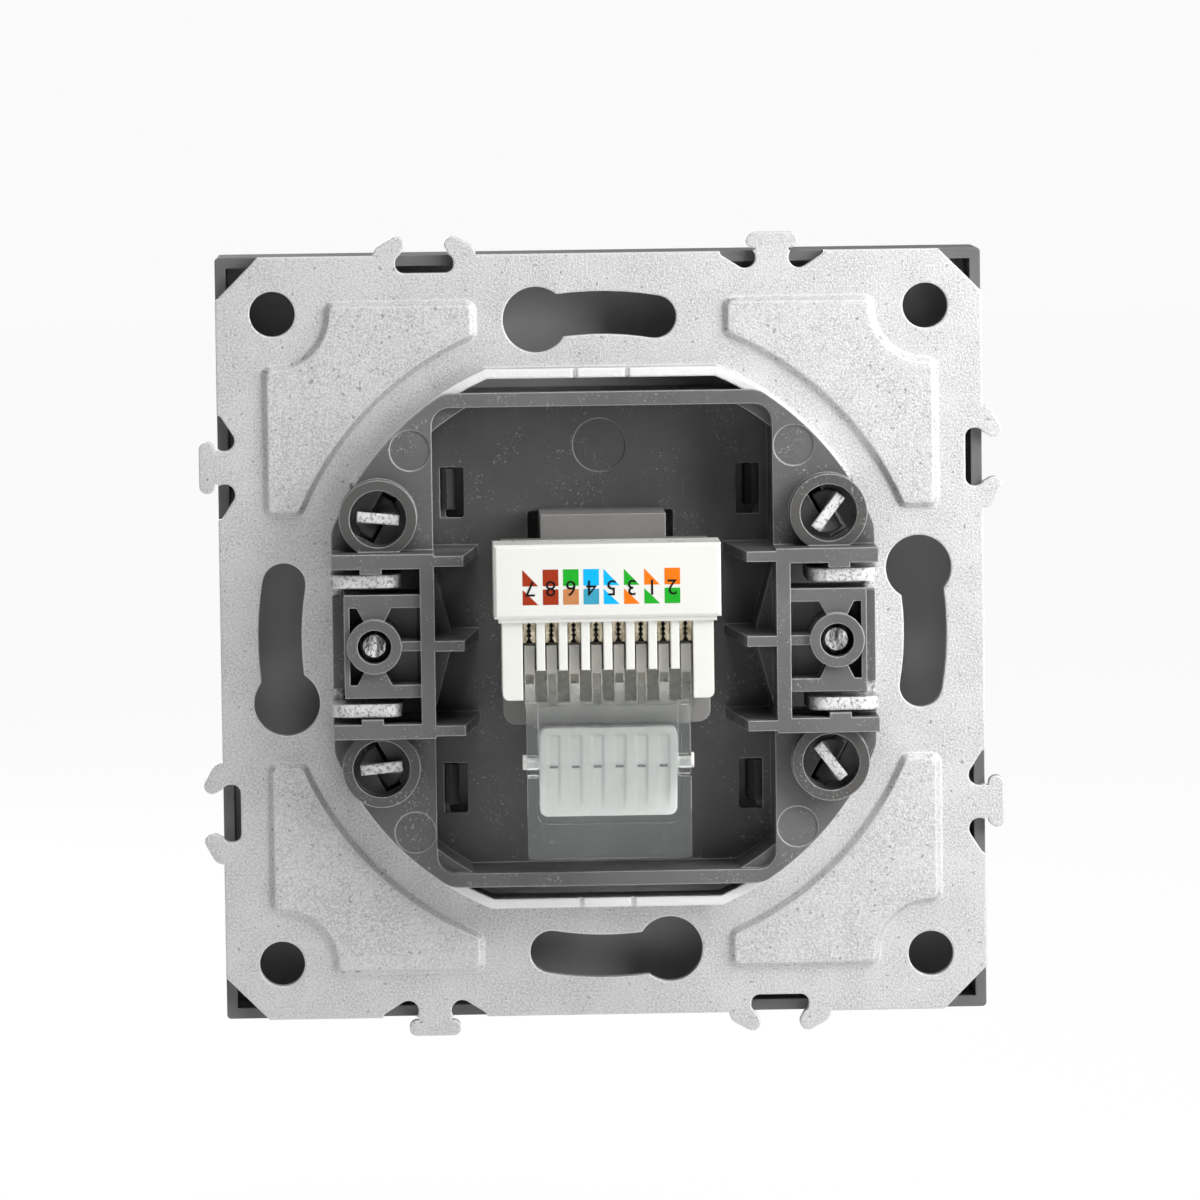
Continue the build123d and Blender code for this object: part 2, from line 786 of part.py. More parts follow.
with BuildPart() as wiring_block:
    with BuildSketch(rear(base_rear)) as header:
        block(-header_half_width, header_half_width, header_bottom, header_top)
    extrude(amount=header_rear - base_rear)
    chamfer(wiring_block.faces().sort_by(Axis.Y)[-1].edges(), header_bevel)
    with BuildSketch(rear(base_rear)):
        block(
            -header_half_width + header_lip, header_half_width - header_lip,
            header_bottom - header_lip, header_bottom + bite,
        )
    extrude(amount=header_rear - header_lip - base_rear)
    with BuildSketch(rear(base_rear)) as comb:
        block(-leg_outer, leg_outer, tooth_tip, header_bottom + header_bevel)
        for right in (-1, 1):
            block(right * (slot_places[-1] + way_slot / 2), right * leg_outer, leg_tip, 0)
        fillet(comb.vertices().group_by(Axis.Y)[0].sort_by(Axis.X)[::3], leg_corner_r)
    extrude(amount=comb_rear - base_rear)
    with BuildSketch(rear(base_rear)) as ways:
        for place in slot_places:
            block(place - way_slot / 2, place + way_slot / 2, tooth_tip - bite, way_end)
        chamfer(ways.vertices().group_by(Axis.Y)[-1], way_end_chamfer)
    extrude(amount=comb_rear - base_rear, mode=Mode.SUBTRACT)

    # Room for the contacts inside the header
    with BuildSketch(rear(base_rear)):
        block(
            -header_half_width + header_wall, header_half_width - header_wall,
            header_bottom + header_wall, header_top - header_wall,
        )
        for place in slot_places:
            block(place - pin_width, place + pin_width, way_end - header_bevel, header_bottom + header_wall)
    extrude(amount=idc_rear + hole_clearance - base_rear, mode=Mode.SUBTRACT)
wiring_block.part.label = "wiring_block"
export_step(wiring_block.part, "parts/wiring_block.step")

# Wire guide: a fluted tongue on an arm under the housing, with the cover's pivot pins
slope_run = guide_fold - guide_end
guide_end_rear = guide_rear - slope_run * tan(radians(guide_slope))
with BuildPart() as wire_guide:
    with BuildSketch(side(-guide_half_width)):
        with BuildLine():
            Polyline(
                (guide_top, guide_front),
                (guide_top, guide_rear),
                (guide_fold, guide_rear),
                (guide_end, guide_end_rear),
                (guide_end, guide_end_rear - guide_edge),
                (guide_end + 2 * guide_edge, guide_front),
                close=True,
            )
        make_face()
    extrude(amount=2 * guide_half_width)
    with BuildSketch(rear(guide_front)) as guide_outline:
        block(-guide_half_width, guide_half_width, guide_end, guide_top)
        fillet(guide_outline.vertices(), guide_corner_r)
    extrude(amount=guide_rear - guide_front, mode=Mode.INTERSECT)
    with BuildSketch(side(-guide_arm_width / 2)):
        block(
            -housing_half_height - shoulder_height - guide_arm_thickness, -housing_half_height,
            guide_arm_front, guide_front + bite,
        )
    extrude(amount=guide_arm_width)
    with BuildSketch(side(-press_half_width - pivot_proud)):
        with Locations((pivot_v, pivot_y)):
            Circle(pivot_r)
    extrude(amount=2 * (press_half_width + pivot_proud))

    # Flutes for the wires: shallow above the fold, and below it deep at first and running out
    for n in range(flute_count):
        place = (n - (flute_count - 1) / 2) * flute_pitch
        with BuildSketch(side(place - flute_width / 2)):
            with BuildLine():
                Polyline(
                    (guide_top - flute_margin, guide_rear + bite),
                    (guide_top - flute_margin, guide_rear - flute_top_depth),
                    (guide_fold, guide_rear - flute_top_depth),
                    (guide_fold, guide_rear - flute_depth),
                    (guide_end + flute_margin, guide_end_rear + flute_margin * tan(radians(guide_slope))),
                    (guide_end + flute_margin, guide_rear + bite),
                    close=True,
                )
            make_face()
        extrude(amount=flute_width, mode=Mode.SUBTRACT)
wire_guide.part.label = "wire_guide"
export_step(wire_guide.part, "parts/wire_guide.step")

with BuildPart() as press_cover:
    with BuildSketch(rear(press_front)) as panel:
        block(-press_half_width, press_half_width, press_end, press_top)
        fillet(panel.vertices(), press_corner_r)
    extrude(amount=press_thickness)
    for right in (-1, 1):
        with BuildSketch(side(right * press_half_width)) as arm:
            block(press_arm_end, press_top, press_arm_front, press_front)
            fillet(arm.vertices().group_by(Axis.Y)[0], pivot_r)
            with Locations((pivot_v, pivot_y)):
                Circle(pivot_r + pivot_clearance, mode=Mode.SUBTRACT)
        extrude(amount=-right * (press_half_width - guide_half_width - press_side_gap))

    # Pillars that push the wires into the forks, and the bar that joins them under the comb
    with BuildSketch(rear(pillar_front)):
        for place in slot_places:
            block(place - pillar_width / 2, place + pillar_width / 2, press_top - bite, pillar_top)
        block(-press_half_width, press_half_width, press_top - bite, press_top)
    extrude(amount=press_rear - pillar_front)
    with BuildSketch(rear(pillar_front)):
        block(-press_half_width, press_half_width, press_top, press_bar_top)
    extrude(amount=press_bar_rear - pillar_front)

    # Wells in the pillars, short and long by turns, and the pocket over the guide
    with BuildSketch(rear(press_rear - press_well_depth)):
        for n, place in enumerate(slot_places):
            block(
                place - press_well_width / 2, place + press_well_width / 2,
                press_well_long_end if n % 2 else press_well_short_end, press_well_top,
            )
    extrude(amount=press_well_depth, mode=Mode.SUBTRACT)
    with BuildSketch(rear(press_rear - pocket_depth)) as pocket:
        block(
            -guide_half_width - pocket_margin, guide_half_width + pocket_margin,
            guide_end - pocket_margin, guide_top + pocket_margin,
        )
        fillet(pocket.vertices(), guide_corner_r + pocket_margin)
    extrude(amount=pocket_depth, mode=Mode.SUBTRACT)
press_cover.part.label = "press_cover"
export_step(press_cover.part, "parts/press_cover.step")

# Eight insulation displacement contacts: a fork open downwards, a stem and a pin to the board
for n in range(way_count):
    place = slot_places[n]
    row = idc_rows[n % 2]
    with BuildPart() as idc_contact:
        with BuildSketch(rear(idc_rear - idc_thickness)):
            block(place - idc_width / 2, place + idc_width / 2, idc_tip, idc_slit_end + 1)
            block(
                place - pin_width / 2, place + pin_width / 2,
                idc_slit_end, row + idc_thickness / 2,
            )
            block(place - idc_slit / 2, place + idc_slit / 2, idc_tip, idc_slit_end, mode=Mode.SUBTRACT)
            with Locations((place, (idc_tip + idc_slit_end) / 2)):
                with GridLocations(0, idc_barb_pitch, 1, idc_barb_count):
                    Rectangle(idc_slit + 2 * idc_barb, idc_barb_pitch / 2, mode=Mode.SUBTRACT)
            with BuildLine():
                Polyline(
                    (place - idc_flare / 2, idc_tip),
                    (place, idc_tip + idc_flare),
                    (place + idc_flare / 2, idc_tip),
                    close=True,
                )
            make_face(mode=Mode.SUBTRACT)
        extrude(amount=idc_thickness)
        with BuildSketch(rear(housing_rear + hole_clearance)):
            with Locations((place, row)):
                Rectangle(pin_width, idc_thickness)
        extrude(amount=idc_rear - idc_thickness / 2 - housing_rear - hole_clearance)
    idc_contact.part.label = f"idc_contact_{n + 1}"
    export_step(idc_contact.part, f"parts/idc_contact_{n + 1}.step")

# Eight spring contacts of the plug port, bent from flat wire
for n in range(way_count):
    row = contact_rows[n % 2]
    with BuildPart() as jack_contact:
        with BuildSketch(side(contact_places[n] - contact_width / 2)):
            with BuildLine() as wire_path:
                FilletPolyline(
                    (row, board_rear),
                    (row, housing_front + contact_front_gap + contact_thickness),
                    (contact_tip_v, contact_tip_y),
                    radius=contact_bend_r,
                )
            trace(wire_path.wire(), contact_thickness)
        extrude(amount=contact_width)
    jack_contact.part.label = f"jack_contact_{n + 1}"
    export_step(jack_contact.part, f"parts/jack_contact_{n + 1}.step")

# Two screws that draw the fixing claws, heads to the room
for name, right in (("clamp_screw_left", -1), ("clamp_screw_right", 1)):
    with BuildPart() as clamp_screw:
        with BuildSketch(side(right * screw_place)):
            with BuildLine():
                Polyline(
                    (0, screw_seat - screw_head_height),
                    (screw_head_r, screw_seat - screw_head_height),
                    (screw_head_r, screw_seat),
                    (screw_r, screw_seat),
                    (screw_r, screw_tip - screw_tip_cone),
                    (screw_tip_r, screw_tip),
                    (0, screw_tip),
                    close=True,
                )
            make_face()
        revolve(axis=Axis((-right * screw_place, 0, 0), (0, 1, 0)))
        with BuildSketch(rear(screw_seat - screw_head_height)):
            with Locations((right * screw_place, 0)):
                Rectangle(recess_length, recess_width)
                Rectangle(recess_width, recess_length)
        extrude(amount=recess_depth, mode=Mode.SUBTRACT)
    clamp_screw.part.label = name
    export_step(clamp_screw.part, f"parts/{name}.step")
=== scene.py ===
import json
from math import radians

import bmesh
import bpy
from mathutils import Euler, Matrix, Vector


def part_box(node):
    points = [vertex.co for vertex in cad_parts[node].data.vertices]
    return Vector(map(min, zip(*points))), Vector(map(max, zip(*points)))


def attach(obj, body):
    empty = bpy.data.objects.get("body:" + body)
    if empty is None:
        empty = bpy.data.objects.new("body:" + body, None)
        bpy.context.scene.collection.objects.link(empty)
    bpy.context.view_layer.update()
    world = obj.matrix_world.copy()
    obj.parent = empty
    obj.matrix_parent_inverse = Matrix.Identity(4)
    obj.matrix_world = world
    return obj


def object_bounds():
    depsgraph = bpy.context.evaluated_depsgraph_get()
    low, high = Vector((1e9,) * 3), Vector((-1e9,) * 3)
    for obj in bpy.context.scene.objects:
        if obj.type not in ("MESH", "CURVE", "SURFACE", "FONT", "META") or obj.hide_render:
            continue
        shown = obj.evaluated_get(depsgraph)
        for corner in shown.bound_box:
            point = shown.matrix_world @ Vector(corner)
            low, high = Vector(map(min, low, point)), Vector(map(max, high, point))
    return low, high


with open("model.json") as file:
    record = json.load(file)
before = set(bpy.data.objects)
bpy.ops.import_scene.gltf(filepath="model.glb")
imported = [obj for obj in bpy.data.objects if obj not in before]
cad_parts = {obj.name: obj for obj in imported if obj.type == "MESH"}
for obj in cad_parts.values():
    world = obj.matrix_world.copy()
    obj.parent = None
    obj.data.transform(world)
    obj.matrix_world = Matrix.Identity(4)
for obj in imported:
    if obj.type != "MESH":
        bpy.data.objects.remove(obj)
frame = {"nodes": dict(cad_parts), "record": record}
cad_low, cad_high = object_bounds()
nodes = frame["nodes"]

# The socket is seen from the wall box, so places round it are given as that viewer sees them:
# u to the right, v up and y towards the viewer. u is -X, v is +Z and y is +Y.
MM = 0.001

# Camera: its distance, how far it stands off the socket's axis for each metre of that, how it is
# turned from looking straight at the origin, and its lens
VIEW_DISTANCE = 700 * MM
VIEW_LEFT = 0.0305
VIEW_UP = 0.088
AIM_ABOVE = radians(0.267)
AIM_LEFT = radians(0.023)
ROLL = radians(-0.74)
LENS = 227.0
SENSOR = 36.0
NEAREST_SEEN = 0.01
FARTHEST_SEEN = 20

# Studio: the floor's drop below the socket, how much of the floor is shown as plain white, how
# bright the air is for the camera and for the socket, and each lamp's u, y, v, size and watts
FLOOR_DROP = 25 * MM
FLOOR_HALF = 2.0
FLOOR_WHITE = 0.95
AIR_SEEN = 0.96
AIR_LIGHT = 0.1
LAMPS = {
    "key_lamp": (0.165, 0.115, 0.08, 0.14, 0.5),
    "top_lamp": (0.02, 0.24, 0.4, 0.24, 1.0),
    "front_lamp": (-0.22, -0.3, 0.2, 0.24, 2.1),
}

# Where the looks change, by the object's own axes. ACROSS is along X and UP along Z, both counted
# outwards from the middle, and DEEP is along Y: from where the look starts to where it is full.
LUGS_UP = (0, 16 * MM)
LUGS_DEEP = (2.0 * MM, 2.8 * MM)
NECKS_UP = (9 * MM, 14.5 * MM)
NECKS_ACROSS = (17 * MM, 23.3 * MM)
NECKS_DEEP = (4.8 * MM, 4.4 * MM)
BOSSES_DEEP_FROM = (4.6 * MM, 5.2 * MM)
BOSSES_DEEP_TO = (7.2 * MM, 6.8 * MM)
CAVITY_FLOOR_DEEP = (-3.5 * MM, -4.2 * MM)
SCREW_BOXES_ACROSS = (17.3 * MM, 23.6 * MM)
SCREW_BOXES_UP = (-1 * MM, 3.6 * MM)
SCREW_BOXES_DEEP = (7.5 * MM, 5.0 * MM)
COVER_INSIDE_DEEP = (-7.0 * MM, -7.6 * MM)
HOOKS_ACROSS = (5 * MM, 20 * MM)
HOOKS_UP = (5 * MM, 22 * MM)
HOOKS_DEEP = (-7.2 * MM, -6.2 * MM)
FOLD_ACROSS = (-1 * MM, 5.7 * MM)
FOLD_UP = (10.87 * MM, 11.12 * MM)
FLUTE_PITCH = 2.01 * MM
# The frost of the press cover starts at the first height and is full at the second
FROST_FROM_TO = (-8.5 * MM, -1.0 * MM)
# The darkest parts of a print keep this much of its colour
INK_UNEVEN = 0.82

# The values that most of a noise lies between
NOISE_SPAN = (0.3, 0.7)
# How squarely the softened normal faces the same way as the flat one: on a face and on an edge
FACE_AND_EDGE = (0.995, 0.8)
ROUNDING_SAMPLES = 6
RECESS_SAMPLES = 8
# The glossiest patches are this much less rough than the surface as a whole
GLOSS_DIP = 0.06
# Sockets of the colour mix, which has others for numbers and vectors: share and two colours, result
MIX_INPUTS = (0, 6, 7)
MIX_RESULT = 2


def feed(tree, socket, value):
    """Give an input socket a value, or a link if the value is the output of another node."""
    if isinstance(value, bpy.types.NodeSocket):
        tree.links.new(value, socket)
    else:
        socket.default_value = value


def add(tree, kind, inputs=(), **settings):
    """New node in a tree: its settings, then its inputs as values or as links."""
    made = tree.nodes.new(kind)
    for key, value in settings.items():
        setattr(made, key, value)
    for key, value in dict(inputs).items():
        feed(tree, made.inputs[key], value)
    return made


def new_material(name):
    """Material with its node tree and its main shader."""
    material = bpy.data.materials.new(name)
    material.use_nodes = True
    tree = material.node_tree
    return material, tree, tree.nodes["Principled BSDF"]


def set_shader(tree, shader, **values):
    """Values or links for a shader's sockets, with _ for each space in a socket's name."""
    for key, value in values.items():
        feed(tree, shader.inputs[key.replace("_", " ")], value)


def calculate(tree, operation, *values, **settings):
    """One step of arithmetic on numbers and on outputs of other nodes."""
    inputs = dict(enumerate(values))
    made = add(tree, "ShaderNodeMath", inputs, operation=operation, **settings)
    return made.outputs["Value"]


def times(tree, first, second):
    """Product of two shares."""
    return calculate(tree, "MULTIPLY", first, second)


def spread(tree, value, low, high, start=0.0, end=1.0):
    """Value that goes smoothly from start to end while another goes from low to high."""
    inputs = {"Value": value, "From Min": low, "From Max": high, "To Min": start, "To Max": end}
    made = add(tree, "ShaderNodeMapRange", inputs, interpolation_type="SMOOTHSTEP")
    return made.outputs["Result"]


def mix(tree, share, first, second):
    """Colour between two others."""
    made = add(tree, "ShaderNodeMix", data_type="RGBA")
    for place, value in zip(MIX_INPUTS, (share, first, second)):
        feed(tree, made.inputs[place], value)
    return made.outputs[MIX_RESULT]


def grey(level, warmth=0.0):
    """Grey of a level, with that share of warmth or, below 0, of cold."""
    return (level * (1 + warmth), level, level * (1 - warmth), 1.0)


def noise(tree, size, detail=3.0, roughness=0.6, stretch=None):
    """Cloudy pattern on Object coordinates whose spots are about size across."""
    place = add(tree, "ShaderNodeTexCoord").outputs["Object"]
    if stretch:
        inputs = {"Vector": place, "Scale": stretch}
        place = add(tree, "ShaderNodeMapping", inputs).outputs["Vector"]
    inputs = {"Vector": place, "Scale": 1 / size, "Detail": detail, "Roughness": roughness}
    return add(tree, "ShaderNodeTexNoise", inputs).outputs["Fac"]


def position(tree, axis):
    """Place along one Object axis."""
    place = add(tree, "ShaderNodeTexCoord").outputs["Object"]
    return add(tree, "ShaderNodeSeparateXYZ", {"Vector": place}).outputs[axis]


def along(tree, axis, start, end):
    """Share that goes from 0 at start to 1 at end along one Object axis."""
    return spread(tree, position(tree, axis), start, end)


def within(tree, axis, low, high, soft):
    """1 between two places along an Object axis, on either side of the middle, and 0 beyond."""
    away = calculate(tree, "ABSOLUTE", position(tree, axis))
    after = spread(tree, away, low - soft, low + soft)
    before = spread(tree, away, high - soft, high + soft, start=1.0, end=0.0)
    return times(tree, after, before)


def rounded(tree, radius):
    """Normals that soften every edge by a small radius."""
    made = add(tree, "ShaderNodeBevel", {"Radius": radius}, samples=ROUNDING_SAMPLES)
    return made.outputs["Normal"]


def edge_mask(tree, normal):
    """1 on the softened edges and 0 on the faces."""
    face = add(tree, "ShaderNodeNewGeometry").outputs["True Normal"]
    made = add(tree, "ShaderNodeVectorMath", {0: face, 1: normal}, operation="DOT_PRODUCT")
    return spread(tree, made.outputs["Value"], *FACE_AND_EDGE)


def recess(tree, depth):
    """1 where a surface lies open and towards 0 in narrow recesses about as deep as depth."""
    made = add(tree, "ShaderNodeAmbientOcclusion", {"Distance": depth}, samples=RECESS_SAMPLES)
    return made.outputs["AO"]


def haze(tree, roughness, size, more):
    """Roughness that changes in patches of a size, by at most more above its value."""
    patches = noise(tree, size)
    return spread(tree, patches, *NOISE_SPAN, start=roughness - GLOSS_DIP, end=roughness + more)


def bump(tree, normal, height, distance):
    """Normals with a relief of that distance on top of the softened edges."""
    inputs = {"Height": height, "Distance": distance, "Strength": 1.0, "Normal": normal}
    return add(tree, "ShaderNodeBump", inputs).outputs["Normal"]


def zinc_sheet():
    """Zinc-plated pressed steel: sandy grain, cloudy tone, rough bright ends where sheared."""
    material, tree, shader = new_material("zinc_sheet")
    normal = rounded(tree, 0.3 * MM)
    grain = noise(tree, 0.2 * MM, detail=5, roughness=0.75)
    cloud = noise(tree, 4 * MM, detail=6, roughness=0.6)
    rub = noise(tree, 0.5 * MM, detail=3, stretch=(0.2, 1.0, 1.0))
    speck = noise(tree, 0.55 * MM, detail=1)
    torn = noise(tree, 0.4 * MM, detail=5, roughness=0.75)
    dark, light, clouded, rubbed = grey(0.42), grey(0.82), grey(0.74), grey(0.82)
    pitted, pale_tone_and_highlight, neck_shade = grey(0.18), grey(0.86), grey(0.14)
    torn_light, torn_dark = grey(0.88), grey(0.36)

    colour = mix(tree, spread(tree, grain, *NOISE_SPAN), dark, light)
    colour = mix(tree, spread(tree, cloud, 0.38, 0.66, end=0.4), colour, clouded)
    colour = mix(tree, spread(tree, rub, 0.6, 0.75, end=0.25), colour, rubbed)
    colour = mix(tree, spread(tree, speck, 0.66, 0.76, end=0.6), colour, pitted)
    # Painted highlight: the softened edges are coloured pale, for light caught on their rounding
    colour = mix(tree, edge_mask(tree, normal), colour, pale_tone_and_highlight)
    # The lugs stand on end, so that the ragged ends of the sheet show
    lugs = within(tree, "Z", *LUGS_UP, soft=0.5 * MM)
    marks = times(tree, spread(tree, torn, 0.5, 0.4), lugs)
    ragged = mix(tree, marks, torn_light, torn_dark)
    colour = mix(tree, along(tree, "Y", *LUGS_DEEP), colour, ragged)
    # Painted shade: the necks of the lugs, down in the boss bores, are coloured dark for the shade
    # that falls there
    necks_up = within(tree, "Z", *NECKS_UP, soft=0.2 * MM)
    necks_across = within(tree, "X", *NECKS_ACROSS, soft=0.2 * MM)
    shaded_necks = times(tree, times(tree, necks_up, necks_across), along(tree, "Y", *NECKS_DEEP))
    set_shader(
        tree, shader,
        Base_Color=mix(tree, shaded_necks, colour, neck_shade),
        Roughness=spread(tree, grain, *NOISE_SPAN, start=0.62, end=0.48),
        Normal=bump(tree, normal, grain, 0.07 * MM),
        Metallic=0.7,
    )
    return material


def moulded(
    name, colour, pale_tone_and_highlight, roughness, edge=0.2 * MM, mottle=0.25, shade=None, zones=(), dust_and_edge_highlight=None,
):
    """Moulded plastic: fine eroded grain, faint flow clouds, edges that catch the light.
    With shade, narrow recesses up to that depth are painted darker, as painted shade.
    Each zone is a function that gives a share of the surface, with the colour it has there.
    A rim colour is painted on the edges as a highlight and is also real dust in patches on the
    faces; without it the edges take the pale tone as a highlight."""
    material, tree, shader = new_material(name)
    normal = rounded(tree, edge)
    edges = edge_mask(tree, normal)
    cloud = noise(tree, 9 * MM, detail=4, roughness=0.5)
    fleck = noise(tree, 0.3 * MM, detail=3, roughness=0.7)
    grain = noise(tree, 0.12 * MM, detail=2)

    base = mix(tree, spread(tree, cloud, *NOISE_SPAN, end=mottle), colour, pale_tone_and_highlight)
    base = mix(tree, spread(tree, fleck, 0.6, 0.78, end=2 * mottle), base, pale_tone_and_highlight)
    for zone, tone in zones:
        base = mix(tree, zone(tree), base, tone)
    if dust_and_edge_highlight:
        dust = noise(tree, 0.22 * MM, detail=2, roughness=0.7)
        patch = spread(tree, noise(tree, 4 * MM, detail=2), 0.48, 0.6)
        base = mix(tree, times(tree, spread(tree, dust, 0.6, 0.7, end=0.55), patch), base, dust_and_edge_highlight)
    # Painted highlight: the softened edges are coloured pale, for light caught on their rounding
    base = mix(tree, spread(tree, edges, 0.1, 0.8, end=0.9), base, dust_and_edge_highlight or pale_tone_and_highlight)
    # Painted shade: narrow recesses are coloured towards black
    if shade:
        recess_shade = spread(tree, recess(tree, shade), 0.1, 0.75, start=0.55, end=0.0)
        base = mix(tree, recess_shade, base, grey(0.01))
    polish = spread(tree, edges, 0.1, 0.8, start=1.0, end=0.6)
    set_shader(
        tree, shader,
        Base_Color=base,
        Roughness=times(tree, haze(tree, roughness, 3 * MM, more=0.08), polish),
        Normal=bump(tree, normal, grain, 0.008 * MM),
    )
    return material


def clear_plastic():
    """Clear polycarbonate with a faint grey-green tint, frosted over its pillars and ribs."""
    material, tree, shader = new_material("clear_plastic")
    scratch = noise(tree, 0.5 * MM, detail=4, roughness=0.7, stretch=(1.0, 1.0, 0.35))
    blotch = spread(tree, noise(tree, 2 * MM, detail=2), *NOISE_SPAN, start=0.7, end=1.0)
    frost = times(tree, along(tree, "Z", *FROST_FROM_TO), blotch)
    tint, tint_scratched = (0.91, 0.955, 0.95, 1), (0.955, 0.98, 0.975, 1)
    tint_frosted = (0.93, 0.9, 0.82, 1)

    colour = mix(tree, spread(tree, scratch, 0.45, 0.75), tint, tint_scratched)
    set_shader(
        tree, shader,
        Base_Color=mix(tree, frost, colour, tint_frosted),
        Roughness=spread(tree, frost, 0.0, 1.0, start=0.04, end=0.36),
        Transmission_Weight=spread(tree, frost, 0.0, 1.0, start=0.99, end=0.55),
        Normal=bump(tree, rounded(tree, 0.12 * MM), scratch, 0.008 * MM),
        IOR=1.5,
    )
    return material


def flashed_metal(name, dark, light, roughness, streak, depth):
    """Plated metal with fine drawing lines and uneven gloss. The dark and light of the lines are
    partly painted reflection, and the edges are painted light as highlights.
    """
    material, tree, shader = new_material(name)
    normal = rounded(tree, 0.08 * MM)
    lines = noise(tree, streak, detail=3, stretch=(1.0, 0.25, 0.25))
    colour = mix(tree, spread(tree, lines, *NOISE_SPAN), dark, light)
    set_shader(
        tree, shader,
        # Painted highlight: the softened edges take the light colour
        Base_Color=mix(tree, edge_mask(tree, normal), colour, light),
        Roughness=haze(tree, roughness, 0.6 * MM, more=0.1),
        Normal=bump(tree, normal, lines, depth),
        Metallic=1.0,
    )
    return material


def ink(name, colour):
    """Printed colour with the slight unevenness of a pad print."""
    material, tree, shader = new_material(name)
    patch = noise(tree, 0.25 * MM, detail=3)
    darker = tuple(INK_UNEVEN * part for part in colour[:3]) + (1.0,)
    printed = mix(tree, spread(tree, patch, 0.35, 0.7, end=0.6), colour, darker)
    set_shader(tree, shader, Base_Color=printed, Roughness=0.42, Specular_IOR_Level=0.2)
    return material


def lug_bosses(tree):
    """The rings round the lugs, which the mould leaves smoother and darker."""
    above = along(tree, "Y", *BOSSES_DEEP_FROM)
    return times(tree, above, along(tree, "Y", *BOSSES_DEEP_TO))


def scuffs(tree):
    """Fine pale scratches on the cavity's floor."""
    lines = noise(tree, 0.5 * MM, detail=4, roughness=0.7, stretch=(1.0, 1.0, 0.12))
    patches = spread(tree, noise(tree, 5 * MM, detail=2), 0.5, 0.62, end=0.45)
    marks = times(tree, spread(tree, lines, 0.62, 0.72), patches)
    return times(tree, marks, along(tree, "Y", *CAVITY_FLOOR_DEEP))


def screw_box_light(tree):
    """Painted light: the floors beside the screw bosses are coloured paler, for light that reaches
    them in spite of their depth.
    """
    across = within(tree, "X", *SCREW_BOXES_ACROSS, soft=0.05 * MM)
    box = times(tree, across, within(tree, "Z", *SCREW_BOXES_UP, soft=0.1 * MM))
    return times(tree, box, along(tree, "Y", *SCREW_BOXES_DEEP))


def cover_inside_light(tree):
    """Painted light: the cover's inside face, seen through the plate's holes, is coloured paler
    than its outside for the light that falls there.
    """
    normal = add(tree, "ShaderNodeTexCoord").outputs["Normal"]
    towards_wall = add(tree, "ShaderNodeSeparateXYZ", {"Vector": normal}).outputs["Y"]
    facing = spread(tree, towards_wall, 0.5, 0.9)
    return times(tree, facing, along(tree, "Y", *COVER_INSIDE_DEEP))


def snap_hooks(tree):
    """The cover's hooks, which stand in the shade of the windows."""
    up = within(tree, "Z", *HOOKS_UP, soft=0.5 * MM)
    across = within(tree, "X", *HOOKS_ACROSS, soft=0.5 * MM)
    return times(tree, times(tree, up, across), along(tree, "Y", *HOOKS_DEEP))


def fold_step_shadows(tree):
    """Painted shadow: short dark dashes where the flutes of the wire guide step down at its fold.
    """
    flutes = calculate(tree, "DIVIDE", position(tree, "X"), FLUTE_PITCH)
    flutes = calculate(tree, "FRACT", flutes)
    off_middle = calculate(tree, "ABSOLUTE", calculate(tree, "SUBTRACT", flutes, 0.5))
    across = within(tree, "X", *FOLD_ACROSS, soft=0.05 * MM)
    shadow_dashes = times(tree, spread(tree, off_middle, 0.2, 0.17), across)
    return times(tree, shadow_dashes, within(tree, "Z", *FOLD_UP, soft=0.05 * MM))


MATERIALS = {
    "plate_metal": zinc_sheet(),
    # Carrier: painted shade in its recesses, painted highlights on its edges, painted light on the
    # screw-box floors
    "carrier_plastic": moulded(
        "carrier_plastic", grey(0.11), grey(0.24), 0.4, shade=2.5 * MM, dust_and_edge_highlight=grey(0.62),
        zones=(
            (lug_bosses, grey(0.085, 0.03)), (scuffs, grey(0.5)), (screw_box_light, grey(0.6)),
        ),
    ),
    # Cover: its inside face painted paler as painted light, its hooks painted dark as painted shade
    "cover_plastic": moulded(
        "cover_plastic", grey(0.13), grey(0.2), 0.5, mottle=0.07,
        zones=((cover_inside_light, grey(0.55)), (snap_hooks, grey(0.02))),
    ),
    # Jack: painted shade in its recesses
    "jack_plastic": moulded(
        "jack_plastic", grey(0.21, 0.03), grey(0.34, 0.02), 0.45, shade=1.5 * MM,
    ),
    "white_plastic": moulded(
        "white_plastic", (0.79, 0.79, 0.745, 1), (0.85, 0.85, 0.82, 1), 0.33, mottle=0.4,
    ),
    "clear_plastic": clear_plastic(),
    "contact_metal": flashed_metal(
        "contact_metal", (0.32, 0.26, 0.16, 1), (0.95, 0.86, 0.66, 1), 0.28,
        streak=0.3 * MM, depth=0.03 * MM,
    ),
    # Its near-black and near-white streaks are painted reflection: dark surroundings and bright
    # glints on the tip
    "screw_metal": flashed_metal(
        "screw_metal", grey(0.02), grey(0.95), 0.16, streak=0.6 * MM, depth=0.2 * MM,
    ),
    "board": moulded("board", (0.02, 0.11, 0.04, 1), (0.05, 0.2, 0.08, 1), 0.35),
}
milky = moulded(
    "milky_plastic", grey(0.92, 0.03), grey(0.95, 0.03), 0.3, mottle=0.4, edge=0.4 * MM,
    zones=((fold_step_shadows, grey(0.2)),),
)

for row in frame["record"]["subparts"]:
    nodes[row["node"]].data.materials.clear()
    nodes[row["node"]].data.materials.append(MATERIALS[row["material_slot"]])
nodes["wire_guide"].data.materials[0] = milky


